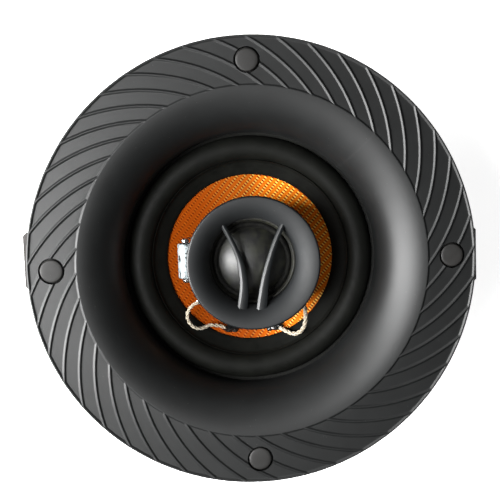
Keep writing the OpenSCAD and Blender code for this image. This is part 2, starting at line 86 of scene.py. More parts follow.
bezel_low, bezel_high = extents("front_bezel")
BEZEL_R = bezel_high[0]
CREST_Z = bezel_high[2]
THROAT_END_Z = bezel_low[2]
SKIRT_Z = 1.2
RIM_DROP = 1.1
CREST_R = 65.6
HORN_R = 17.8
WALL = 2.0
SKIRT_INNER_R = extents("basket")[1][1] + 0.3
FLANGE_TOP_Z = extents("basket")[1][2]

RIB_COUNT = 45
RIB_SWEEP = math.radians(21)
RIB_START = math.radians(5)
POCKET_DEPTH = 0.42
POCKET_R0 = CREST_R - 1.2
POCKET_R1 = BEZEL_R - 0.6

# side, and height above the middle, of the notch over each ear of the basket
EARS = ((-1, 3.5), (1, -0.5))
NOTCH_HALF_W = 10.9

SCREW_COUNT = 4
SCREW_R = 73.5
SCREW_HOLE_R = 2.25
RECESS_R = 4.8
CAP_SEAT_Z = 4.6
cap_low, cap_high = extents("screw_cap_right")
CAP_TOP_Z = cap_high[2]
CAP_SKIRT_R = cap_high[1]

SEAT_Z = -12.6
ROLL_C = 42.0
ROLL_R = 4.7
COVER_R = 31.8

cone_low, cone_high = extents("cone")
CONE_R = cone_high[0]
CONE_EDGE_Z = cone_high[2]
CONE_NECK_R = 12.95
CONE_NECK_Z = cone_low[2] + 0.7
CONE_SLOPE = (CONE_EDGE_Z - CONE_NECK_Z) / (CONE_R - CONE_NECK_R)

WEAVE_TURN = 50
KNOT_PITCH = 1.1
ROW_PITCH = 2.25

housing_low, housing_high = extents("tweeter_housing")
TWEETER_R = housing_high[0]
TWEETER_Z = housing_high[2]
BARREL_R = 21.4
BARREL_END_Z = housing_low[2]
HORN2_R = 8.0

dome_low, dome_high = extents("tweeter_dome")
DOME_R = dome_high[0]
DOME_Z = dome_low[2]
DOME_H = dome_high[2] - dome_low[2]


def cone_z(r):
    """Height of the cone's front face at radius r."""
    return CONE_EDGE_Z - CONE_SLOPE * (CONE_R - r)


# ---- mesh helpers ----

def build(name, points, faces, material, sharp=40):
    """Makes an object from points in millimetres, shaded smooth but for its sharp edges."""
    mesh = bpy.data.meshes.new(name)
    mesh.from_pydata((np.asarray(points, float) * MM).tolist(), [], faces)
    mesh.validate()
    work = bmesh.new()
    work.from_mesh(mesh)
    bmesh.ops.remove_doubles(work, verts=work.verts, dist=0.002 * MM)
    bmesh.ops.recalc_face_normals(work, faces=work.faces)
    work.to_mesh(mesh)
    work.free()
    mesh.shade_smooth()
    mesh.set_sharp_from_angle(angle=math.radians(sharp))
    obj = bpy.data.objects.new(name, mesh)
    bpy.context.scene.collection.objects.link(obj)
    mesh.materials.append(material)
    return obj


def grid_faces(rows, columns, close_rows=True):
    """Quads of a grid of points, stored row by row. Its columns always close."""
    faces = []
    for i in range(rows if close_rows else rows - 1):
        a = i * columns
        b = (i + 1) % rows * columns
        for k in range(columns):
            j = (k + 1) % columns
            faces.append((a + k, a + j, b + j, b + k))
    return faces


def revolved(profile, columns):
    """Points and faces of a closed profile of (radius, height) turned about the axis."""
    profile = np.asarray(profile, float)
    angle = np.arange(columns) * TAU / columns
    r = profile[:, 0][:, None] + np.zeros(columns)
    z = profile[:, 1][:, None] + np.zeros(columns)
    points = np.stack([r * np.cos(angle), r * np.sin(angle), z], -1).reshape(-1, 3)
    return points, grid_faces(len(profile), columns)


def arc(centre, radius, start, end, steps):
    """Points of an arc in a profile, angles in degrees."""
    turn = np.radians(np.linspace(start, end, steps + 1))
    return [(centre[0] + radius * math.cos(a), centre[1] + radius * math.sin(a)) for a in turn]


def rounded(corners, radius, steps=3):
    """A closed outline whose corners are rounded with short arcs."""
    out = []
    count = len(corners)
    for i in range(count):
        here = np.array(corners[i], float)
        before = np.array(corners[i - 1], float) - here
        after = np.array(corners[(i + 1) % count], float) - here
        reach = min(radius, 0.45 * np.linalg.norm(before), 0.45 * np.linalg.norm(after))
        start = here + before / np.linalg.norm(before) * reach
        end = here + after / np.linalg.norm(after) * reach
        for t in np.linspace(0, 1, steps + 1):
            out.append((1 - t) ** 2 * start + 2 * t * (1 - t) * here + t * t * end)
    return out


def merged(parts):
    """One list of points and faces from several."""
    points = []
    faces = []
    for part_points, part_faces in parts:
        start = len(points)
        points.extend(np.asarray(part_points).tolist())
        faces.extend([tuple(start + v for v in face) for face in part_faces])
    return points, faces


def at_screw(part, i):
    """Points and faces moved from the axis to screw hole i, counted round from the right."""
    points, faces = part
    a = i * TAU / SCREW_COUNT
    return np.asarray(points) + np.array([SCREW_R * math.cos(a), SCREW_R * math.sin(a), 0]), faces


def smooth_route(route, steps):
    """Points of a smooth curve through a route's points."""
    p = np.asarray(route, float)
    out = []
    for i in range(len(p) - 1):
        a = p[max(i - 1, 0)]
        b, c = p[i], p[i + 1]
        d = p[min(i + 2, len(p) - 1)]
        for t in np.arange(steps) / steps:
            out.append((2 * b + (c - a) * t + (2 * a - 5 * b + 4 * c - d) * t * t
                        + (3 * b - a - 3 * c + d) * t ** 3) / 2)
    out.append(p[-1])
    return np.array(out)


def resampled(path, spacing):
    """The same path with evenly spaced points, and each point's distance along it."""
    step = np.linalg.norm(np.diff(path, axis=0), axis=1)
    along = np.concatenate([[0], np.cumsum(step)])
    want = np.linspace(0, along[-1], max(2, int(along[-1] / spacing) + 1))
    return np.stack([np.interp(want, along, path[:, k]) for k in range(3)], -1), want


def swept(path, section, sides):
    """A closed tube along a path; section(distance, angle) gives its radius."""
    path, along = path
    tangent = np.gradient(path, axis=0)
    tangent /= np.linalg.norm(tangent, axis=1)[:, None]
    normal = np.array([0, 0, 1.0]) if abs(tangent[0][2]) < 0.7 else np.array([1.0, 0, 0])
    angle = np.arange(sides) * TAU / sides
    points = []
    for centre, forward, s in zip(path, tangent, along):
        normal = normal - forward * (normal @ forward)
        normal /= np.linalg.norm(normal)
        side = np.cross(forward, normal)
        r = section(s, angle)
        points.append(centre + r[:, None] * (np.cos(angle)[:, None] * normal + np.sin(angle)[:, None] * side))
    rows = len(points)
    points = np.concatenate(points + [path[:1], path[-1:]])
    faces = grid_faces(rows, sides, close_rows=False)
    for k in range(sides):
        j = (k + 1) % sides
        faces.append((rows * sides, j, k))
        faces.append((rows * sides + 1, (rows - 1) * sides + k, (rows - 1) * sides + j))
    return points, faces


def apply_modifiers(obj):
    """Turns an object's modifiers into its mesh."""
    evaluated = obj.evaluated_get(bpy.context.evaluated_depsgraph_get())
    mesh = bpy.data.meshes.new_from_object(evaluated)
    old = obj.data
    obj.modifiers.clear()
    obj.data = mesh
    bpy.data.meshes.remove(old)


def join(objects):
    """Joins the later objects into the first."""
    with bpy.context.temp_override(active_object=objects[0], selected_editable_objects=objects):
        bpy.ops.object.join()


def place(obj, body, slot, *replaced):
    """Hangs a finished piece on its body and hides the CAD parts it replaces."""
    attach(obj, body)
    if replaced:
        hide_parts(*replaced)
    return obj


def stretch(obj, moving, shares, slot, *replaced):
    """Bakes a soft piece's place into its mesh and hides the CAD parts it replaces; moving and shares are not
    used.
    """
    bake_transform(obj)
    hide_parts(*replaced)
    return obj


def vertices(obj):
    """The object's points, in millimetres."""
    co = np.zeros(len(obj.data.vertices) * 3)
    obj.data.vertices.foreach_get("co", co)
    return co.reshape(-1, 3) / MM


def radii_of(obj):
    """Each point's distance from the axis, in millimetres."""
    return np.hypot(*vertices(obj)[:, :2].T)


def ease(t):
    """Smooth step from 0 to 1."""
    t = np.clip(t, 0, 1)
    return t * t * (3 - 2 * t)


# ---- material helpers ----

class Material:
    """A procedural material round one Principled shader. Textures use the row frame."""

    def __init__(self, name, colour, roughness, **inputs):
        self.data = bpy.data.materials.new(name)
        self.data.use_nodes = True
        self.tree = self.data.node_tree
        self.shader = self.tree.nodes["Principled BSDF"]
        self.coords = self.tree.nodes.new("ShaderNodeTexCoord").outputs["Object"]
        self.shader.inputs["Base Color"].default_value = (*colour, 1)
        self.shader.inputs["Roughness"].default_value = roughness
        for key, value in inputs.items():
            self.shader.inputs[key.replace("_", " ")].default_value = value
        self.data.diffuse_color = (*colour, 1)

    def link(self, a, b):
        self.tree.links.new(a, b)

    def feed(self, socket, value):
        """Gives a socket a number, a colour or another node's output."""
        if isinstance(value, (int, float)):
            socket.default_value = value
        elif isinstance(value, tuple):
            socket.default_value = (*value, 1)
        else:
            self.link(value, socket)

    def math(self, kind, *values):
        node = self.tree.nodes.new("ShaderNodeMath")
        node.operation = kind
        for socket, value in zip(node.inputs, values):
            self.feed(socket, value)
        return node.outputs[0]

    def scaled(self, value, factor):
        """A value times a factor, plus a half."""
        return self.math("MULTIPLY_ADD", value, factor, 0.5)

    def noise(self, size, detail=2.0, stretch=(1, 1, 1)):
        """Cloudy texture whose features are about size millimetres across."""
        mapping = self.tree.nodes.new("ShaderNodeMapping")
        mapping.inputs["Scale"].default_value = [s / (size * MM) for s in stretch]
        self.link(self.coords, mapping.inputs["Vector"])
        node = self.tree.nodes.new("ShaderNodeTexNoise")
        node.inputs["Scale"].default_value = 1
        node.inputs["Detail"].default_value = detail
        self.link(mapping.outputs["Vector"], node.inputs["Vector"])
        return node.outputs["Fac"]

    def cells(self, size):
        """Distance to the nearest of scattered points about size millimetres apart."""
        mapping = self.tree.nodes.new("ShaderNodeMapping")
        mapping.inputs["Scale"].default_value = (1 / (size * MM),) * 3
        self.link(self.coords, mapping.inputs["Vector"])
        node = self.tree.nodes.new("ShaderNodeTexVoronoi")
        node.inputs["Scale"].default_value = 1
        self.link(mapping.outputs["Vector"], node.inputs["Vector"])
        return node.outputs["Distance"]

    def turned(self, degrees):
        """The two plan coordinates, turned about the axis, in millimetres."""
        mapping = self.tree.nodes.new("ShaderNodeMapping")
        mapping.inputs["Rotation"].default_value = (0, 0, -math.radians(degrees))
        mapping.inputs["Scale"].default_value = (1 / MM,) * 3
        self.link(self.coords, mapping.inputs["Vector"])
        split = self.tree.nodes.new("ShaderNodeSeparateXYZ")
        self.link(mapping.outputs["Vector"], split.inputs[0])
        return split.outputs["X"], split.outputs["Y"]

    def wave(self, value, pitch):
        """Sine of a coordinate in millimetres, from -1 to 1."""
        return self.math("SINE", self.math("MULTIPLY", value, TAU / pitch))

    def ramp(self, value, *stops):
        """Colour along a value; each stop is (position, colour or grey)."""
        node = self.tree.nodes.new("ShaderNodeValToRGB")
        elements = node.color_ramp.elements
        while len(elements) < len(stops):
            elements.new(0.5)
        for element, (position, colour) in zip(elements, stops):
            element.position = position
            element.color = (colour,) * 3 + (1,) if isinstance(colour, (int, float)) else (*colour, 1)
        self.link(value, node.inputs["Fac"])
        return node.outputs["Color"]

    def mix(self, factor, a, b, kind="MIX"):
        node = self.tree.nodes.new("ShaderNodeMix")
        node.data_type = "RGBA"
        node.blend_type = kind
        for key, value in (("Factor", factor), ("A", a), ("B", b)):
            self.feed(node.inputs[key], value)
        return node.outputs["Result"]

    def colour(self, value):
        self.link(value, self.shader.inputs["Base Color"])

    def rough(self, value, low, high):
        """Roughness from low to high as value goes from 0.3 to 0.7."""
        node = self.tree.nodes.new("ShaderNodeMapRange")
        node.inputs["From Min"].default_value = 0.3
        node.inputs["From Max"].default_value = 0.7
        node.inputs["To Min"].default_value = low
        node.inputs["To Max"].default_value = high
        self.link(value, node.inputs["Value"])
        self.link(node.outputs["Result"], self.shader.inputs["Roughness"])

    def bump(self, *layers):
        """Surface relief; each layer is (height texture, depth in millimetres)."""
        normal = None
        for height, depth in layers:
            node = self.tree.nodes.new("ShaderNodeBump")
            node.inputs["Strength"].default_value = 1
            node.inputs["Distance"].default_value = depth * MM
            self.link(height, node.inputs["Height"])
            if normal is not None:
                self.link(normal, node.inputs["Normal"])
            normal = node.outputs["Normal"]
        self.link(normal, self.shader.inputs["Normal"])

    def worn_and_edge_highlight(self, base, light, strength=0.5):
        """Lighter colour on the mesh's raised edges: rubbed wear, and a painted edge highlight."""
        pointiness = self.tree.nodes.new("ShaderNodeNewGeometry").outputs["Pointiness"]
        edge = self.ramp(pointiness, (0.52, 0.0), (0.62, strength))
        return self.mix(self.math("MULTIPLY", edge, self.noise(1.2, 3)), base, light)


def moulded(name, colour, roughness, grain=0.35, relief=0.012, spread=0.05, light=None):
    """Moulded plastic: fine spark texture, faint flow marks, dust, and raised edges lightened as rubbed wear
    and as a painted edge highlight.
    """
    m = Material(name, colour, roughness)
    flow = m.noise(9, 3)
    fine = m.noise(grain, 2)
    dark = tuple(c * 0.8 for c in colour)
    bright = tuple(c * 1.25 for c in colour)
    shade = m.ramp(flow, (0.3, dark), (0.7, bright))
    dust = m.ramp(m.cells(3.1), (0.02, 1.0), (0.05, 0.0))
    shade = m.mix(m.math("MULTIPLY", dust, 0.25), shade, (0.25, 0.25, 0.24))
    m.colour(m.worn_and_edge_highlight(shade, light or tuple(c * 3 for c in colour), 0.5))
    m.rough(m.noise(2.2, 4), roughness - spread, roughness + spread)
    m.bump((fine, relief))
    return m.data


def metal(name, colour, roughness, size=0.6, relief=0.006, stretch=(1, 1, 1), spot=None):
    """Bare or plated metal with fine drawing marks and uneven lustre."""
    m = Material(name, colour, roughness, Metallic=1.0)
    cloud = m.noise(5, 4)
    tone = m.ramp(cloud, (0.3, tuple(c * 0.78 for c in colour)), (0.7, colour))
    if spot is not None:
        tone = m.mix(m.ramp(m.noise(2.4, 5), (0.58, 0.0), (0.7, 0.6)), tone, spot)
    m.colour(tone)
    m.rough(m.noise(1.4, 3), roughness - 0.08, roughness + 0.1)
    m.bump((m.noise(size, 3, stretch), relief))
    return m.data


# ---- materials ----

def make_orange_weave():
    """Coated aramid cloth: long orange floats tied down along diagonal rows of knots, whose bright yellow is
    partly a painted highlight.
    """
    m = Material("orange_weave", (0.5, 0.1, 0.002), 0.6, Specular_IOR_Level=0.14)
    along, across = m.turned(WEAVE_TURN)
    knot = m.wave(along, KNOT_PITCH)
    row = m.math("POWER", m.scaled(m.wave(across, ROW_PITCH), 0.5), 2.0)
    lift = m.scaled(m.math("MULTIPLY", knot, row), 0.5)
    bare = m.ramp(lift, (0.1, (0.3, 0.036, 0.001)), (0.45, (0.7, 0.11, 0.001)), (0.8, (0.85, 0.17, 0.002)))
    # knot colours; their bright yellow top is a painted highlight
    knots = m.ramp(lift, (0.08, (0.13, 0.011, 0.001)), (0.42, (0.6, 0.09, 0.001)),
                   (0.56, (1.0, 0.27, 0.003)), (0.74, (1.0, 0.8, 0.16)))
    # painted highlight: the knots are mixed in brighter towards the right; the cloth is also painted paler on
    # the right
    painted_knot_highlight = m.scaled(m.turned(15)[0], 0.016)
    thread_and_painted_light = m.mix(m.ramp(painted_knot_highlight, (0.3, 0.05), (0.7, 1.0)), bare, knots)
    # painted light: the cloth is paler on the right where the tweeter's shadow falls, darkest across the
    # middle, a little paler on the left
    painted_light_gradient = m.scaled(m.turned(0)[0], 0.0167)
    thread_and_painted_light = m.mix(1.0, thread_and_painted_light, m.ramp(painted_light_gradient, (0.0, 0.54), (0.5, 0.38), (0.72, 1.0)), "MULTIPLY")
    strands = m.noise(0.16, 2, (1, 1, 0.2))
    m.colour(m.mix(m.ramp(strands, (0.35, 0.35), (0.6, 0.0)), thread_and_painted_light, (0.38, 0.055, 0.001)))
    m.rough(m.noise(1.0, 3), 0.5, 0.7)
    m.bump((lift, 0.09), (strands, 0.02))
    return m.data


def make_rubber(name, colour, roughness, relief=0.015):
    """Soft rubber: powdery, with a faint pebble and a little dust."""
    m = Material(name, colour, roughness, Specular_IOR_Level=0.13)
    cloud = m.noise(6, 4)
    dark = tuple(c * 0.75 for c in colour)
    bright = tuple(c * 1.3 for c in colour)
    dust = tuple(min(1, c * 5) for c in colour)
    m.colour(m.mix(m.ramp(m.cells(1.6), (0.03, 0.35), (0.1, 0.0)),
                   m.ramp(cloud, (0.3, dark), (0.7, bright)), dust))
    m.rough(m.noise(1.5, 4), roughness - 0.07, roughness + 0.08)
    m.bump((m.noise(0.3, 3), relief), (cloud, relief * 2))
    return m.data


def make_silk():
    """Doped silk of the dome: fine cloth under a tacky varnish."""
    m = Material("silk", (0.004, 0.0045, 0.004), 0.45, Coat_Weight=0.65, Coat_Roughness=0.36)
    u, v = m.turned(20)
    cloth = m.math("MULTIPLY", m.wave(u, 0.34), m.wave(v, 0.34))
    speck = m.noise(0.35, 3)
    m.colour(m.ramp(m.noise(3.5, 3), (0.42, (0.001, 0.001, 0.001)), (0.68, (0.014, 0.015, 0.008))))
    m.rough(speck, 0.34, 0.5)
    m.bump((cloth, 0.014), (speck, 0.06))
    return m.data


def make_silk_edge():
    """Bare silk of the dome's surround, matt, darkened nearly black as painted shade of the tweeter's throat.
    """
    m = Material("silk_edge", (0.004, 0.004, 0.0035), 0.75, Specular_IOR_Level=0.15)
    m.colour(m.ramp(m.noise(1.1, 3), (0.35, (0.002, 0.002, 0.002)), (0.7, (0.008, 0.008, 0.006))))
    m.rough(m.noise(0.6, 3), 0.65, 0.85)
    m.bump((m.noise(0.3, 2), 0.02))
    return m.data


def make_clamp_lacquer():
    """Olive lacquer of the dome's clamp ring, darkened as painted shade of the tweeter's throat."""
    m = Material("clamp_ring", (0.02, 0.02, 0.014), 0.5)
    m.colour(m.ramp(m.noise(1.5, 4), (0.35, (0.004, 0.004, 0.003)), (0.7, (0.018, 0.018, 0.01))))
    m.rough(m.noise(0.8, 3), 0.4, 0.6)
    m.bump((m.noise(0.4, 3), 0.02))
    return m.data


def make_braid():
    """Woven tinsel lead: cream cotton with threads of tinned copper."""
    m = Material("braid", (0.72, 0.64, 0.48), 0.6, Sheen_Weight=0.2)
    fibre = m.noise(0.14, 3)
    tone = m.ramp(fibre, (0.36, (0.07, 0.045, 0.02)), (0.5, (0.42, 0.35, 0.24)), (0.64, (0.72, 0.68, 0.58)))
    # painted shade: the lead is darkened in the hollows between its strands
    pointiness = m.tree.nodes.new("ShaderNodeNewGeometry").outputs["Pointiness"]
    groove = m.ramp(pointiness, (0.45, 1.0), (0.51, 0.0))
    m.colour(m.mix(groove, tone, (0.05, 0.03, 0.012)))
    m.rough(fibre, 0.5, 0.75)
    m.bump((fibre, 0.05))
    return m.data


def make_film_wrap():
    """Clear shrink film over a pale foil capacitor, creased, with painted shade in its creases, and stained
    with dark resin.
    """
    m = Material("film_wrap", (0.3, 0.34, 0.35), 0.38, Coat_Weight=0.15, Coat_Roughness=0.2)
    crease = m.noise(1.3, 4, (1, 0.35, 1))
    # painted shade: the foil is darker where the creases sink
    foil = m.ramp(crease, (0.3, (0.06, 0.075, 0.08)), (0.42, (0.24, 0.28, 0.29)), (0.7, (0.4, 0.44, 0.45)))
    stain = m.ramp(m.noise(1.9, 3, (1, 0.6, 1)), (0.56, 0.0), (0.6, 0.9))
    m.colour(m.mix(stain, foil, (0.012, 0.013, 0.013)))
    m.rough(crease, 0.2, 0.42)
    m.bump((crease, 0.18), (m.noise(0.3, 2), 0.02))
    return m.data


def make_ferrite():
    """Fired ferrite: dull grey, with pores and coarse grain."""
    m = Material("ferrite", (0.05, 0.05, 0.052), 0.62)
    m.colour(m.ramp(m.noise(1.1, 6), (0.3, (0.028, 0.028, 0.03)), (0.72, (0.09, 0.088, 0.085))))
    m.rough(m.noise(2.5, 3), 0.5, 0.75)
    m.bump((m.noise(0.5, 5), 0.03), (m.cells(1.4), 0.02))
    return m.data


def make_foam():
    """Closed-cell gasket foam."""
    m = Material("foam", (0.02, 0.02, 0.021), 0.95)
    bubbles = m.cells(0.45)
    m.colour(m.ramp(bubbles, (0.1, (0.004, 0.004, 0.004)), (0.6, (0.035, 0.035, 0.036))))
    m.rough(m.noise(3, 3), 0.85, 1.0)
    m.bump((bubbles, 0.12), (m.noise(4, 3), 0.1))
    return m.data


def make_damper():
    """Resin-dipped cotton: a square open weave, browned where the resin is thick."""
    m = Material("damper_cloth", (0.5, 0.36, 0.15), 0.7)
    u, v = m.turned(0)
    cloth = m.math("ADD", m.wave(u, 0.8), m.wave(v, 0.8))
    lift = m.scaled(cloth, 0.25)
    tone = m.ramp(lift, (0.15, (0.16, 0.09, 0.03)), (0.6, (0.5, 0.35, 0.14)), (0.9, (0.66, 0.52, 0.27)))
    m.colour(m.mix(m.ramp(m.noise(7, 4), (0.4, 0.0), (0.7, 0.55)), tone, (0.3, 0.16, 0.04)))
    m.rough(m.noise(1.5, 3), 0.55, 0.8)
    m.bump((lift, 0.08))
    return m.data


def make_glue():
    """Glossy black rubber cement."""
    m = Material("glue", (0.006, 0.006, 0.006), 0.25, Coat_Weight=0.5, Coat_Roughness=0.1)
    m.colour(m.ramp(m.noise(1.5, 3), (0.35, (0.003, 0.003, 0.003)), (0.7, (0.012, 0.011, 0.01))))
    m.rough(m.noise(0.9, 3), 0.15, 0.4)
    m.bump((m.noise(0.8, 2), 0.06))
    return m.data


def make_painted_steel():
    """Satin black paint with orange peel, rubbed to grey steel at its corners; the lighter corners are also a
    painted edge highlight.
    """
    m = Material("black_steel", (0.016, 0.015, 0.014), 0.46, Metallic=0.1)
    tone = m.ramp(m.noise(6, 4), (0.3, (0.014, 0.013, 0.012)), (0.7, (0.03, 0.028, 0.026)))
    m.colour(m.worn_and_edge_highlight(tone, (0.2, 0.16, 0.13), 0.5))
    m.rough(m.noise(1.8, 4), 0.34, 0.52)
    m.bump((m.noise(0.7, 2), 0.02), (m.noise(0.2, 2), 0.006))
    return m.data


def make_fibre_board():
    """Brown hard paper with its grain along X."""
    m = Material("fibre_board", (0.045, 0.026, 0.014), 0.6)
    streak = m.noise(0.6, 4, (0.25, 1, 1))
    m.colour(m.ramp(streak, (0.3, (0.022, 0.012, 0.007)), (0.7, (0.075, 0.045, 0.025))))
    m.rough(streak, 0.48, 0.72)
    m.bump((streak, 0.03))
    return m.data


BEZEL_PLASTIC = moulded("bezel_plastic", (0.0045, 0.005, 0.005), 0.49, spread=0.004, light=(0.02, 0.02, 0.02))
CAP_PLASTIC = moulded("cap_plastic", (0.008, 0.0075, 0.0068), 0.55, grain=0.25)
TWEETER_TONE = (0.004, 0.005, 0.0056)
TWEETER_PLASTIC = moulded("tweeter_plastic", TWEETER_TONE, 0.67, spread=0.02, grain=0.25, relief=0.008)
FIN_PLASTIC = moulded("fin_plastic", TWEETER_TONE, 0.4, spread=0.02, grain=0.25, relief=0.005)
BLACK_PLASTIC = moulded("black_plastic", (0.008, 0.008, 0.008), 0.6)
BLACK_STEEL = make_painted_steel()
PLATED_STEEL = metal("plated_steel", (0.2, 0.2, 0.19), 0.42, spot=(0.13, 0.12, 0.1))
FERRITE = make_ferrite()
FOAM = make_foam()
BOOT_RUBBER = make_rubber("boot_rubber", (0.012, 0.012, 0.012), 0.62)
SURROUND_RUBBER = make_rubber("surround_rubber", (0.0035, 0.0038, 0.003), 0.6, 0.03)
ORANGE_WEAVE = make_orange_weave()
DAMPER_CLOTH = make_damper()
FOIL = metal("foil", (0.7, 0.7, 0.7), 0.3, 0.3)
COPPER_WIRE = metal("copper_wire", (0.62, 0.24, 0.09), 0.3, 0.25, stretch=(0.05, 0.05, 4))
SILK = make_silk()
SILK_EDGE = make_silk_edge()
CLAMP_LACQUER = make_clamp_lacquer()
FILM_WRAP = make_film_wrap()
TIN = metal("tin", (0.78, 0.78, 0.77), 0.25, 0.9, relief=0.03, spot=(0.5, 0.5, 0.48))
BRAID = make_braid()
GLUE = make_glue()
FIBRE_BOARD = make_fibre_board()
TAB_BRASS = metal("tab_brass", (0.66, 0.5, 0.2), 0.3, 0.4, spot=(0.35, 0.2, 0.06))

CAD_FINISH = {
    "black_steel": BLACK_STEEL, "foam": FOAM, "plated_steel": PLATED_STEEL, "ferrite": FERRITE,
    "boot_rubber": BOOT_RUBBER, "black_plastic": BLACK_PLASTIC, "fibre_board": FIBRE_BOARD,
    "tin": TIN, "tab_brass": TAB_BRASS, "foil": FOIL, "copper_wire": COPPER_WIRE,
    "tweeter_plastic": TWEETER_PLASTIC, "silk": SILK, "glue": GLUE,
}
# each CAD node gets its slot's material; a piece that replaces one brings its own
for part in frame["record"]["subparts"]:
    finish = CAD_FINISH.get(part["material_slot"])
    if finish is not None:
        data = nodes[part["node"]].data
        data.materials.clear()
        data.materials.append(finish)


# visible CAD nodes with their bevel's width in millimetres
SOFT_EDGES = {
    "basket": 0.3, "rear_gasket": 0.25, "top_plate": 0.3, "ferrite_magnet": 0.5, "basket_rivets": 0.25,
    "tweeter_post": 0.3, "tweeter_cup": 0.25, "terminal_board": 0.2, "terminal_rivets": 0.22,
    "terminal_positive": 0.12, "terminal_negative": 0.12, "lead_eyelets": 0.08,
}
for part, width in SOFT_EDGES.items():
    weld = nodes[part].modifiers.new("weld", "WELD")
    weld.merge_threshold = 0.002 * MM
    bevel = nodes[part].modifiers.new("soft_edges", "BEVEL")
    bevel.width = width * MM
    bevel.segments = 2
    bevel.limit_method = "ANGLE"
    bevel.angle_limit = math.radians(40)
    bevel.use_clamp_overlap = True


# ---- bezel ----

def soft_step(x, blend=0.12):
    """A ramp from 0 to 1 whose two corners are slightly rounded."""
    low = (np.clip(x, -blend, blend) + blend) ** 2 / (4 * blend)
    high = (blend + np.clip(1 - x, -blend, blend)) ** 2 / (4 * blend)
    return np.where(x < blend, low, np.where(x > 1 - blend, 1 - high, x))


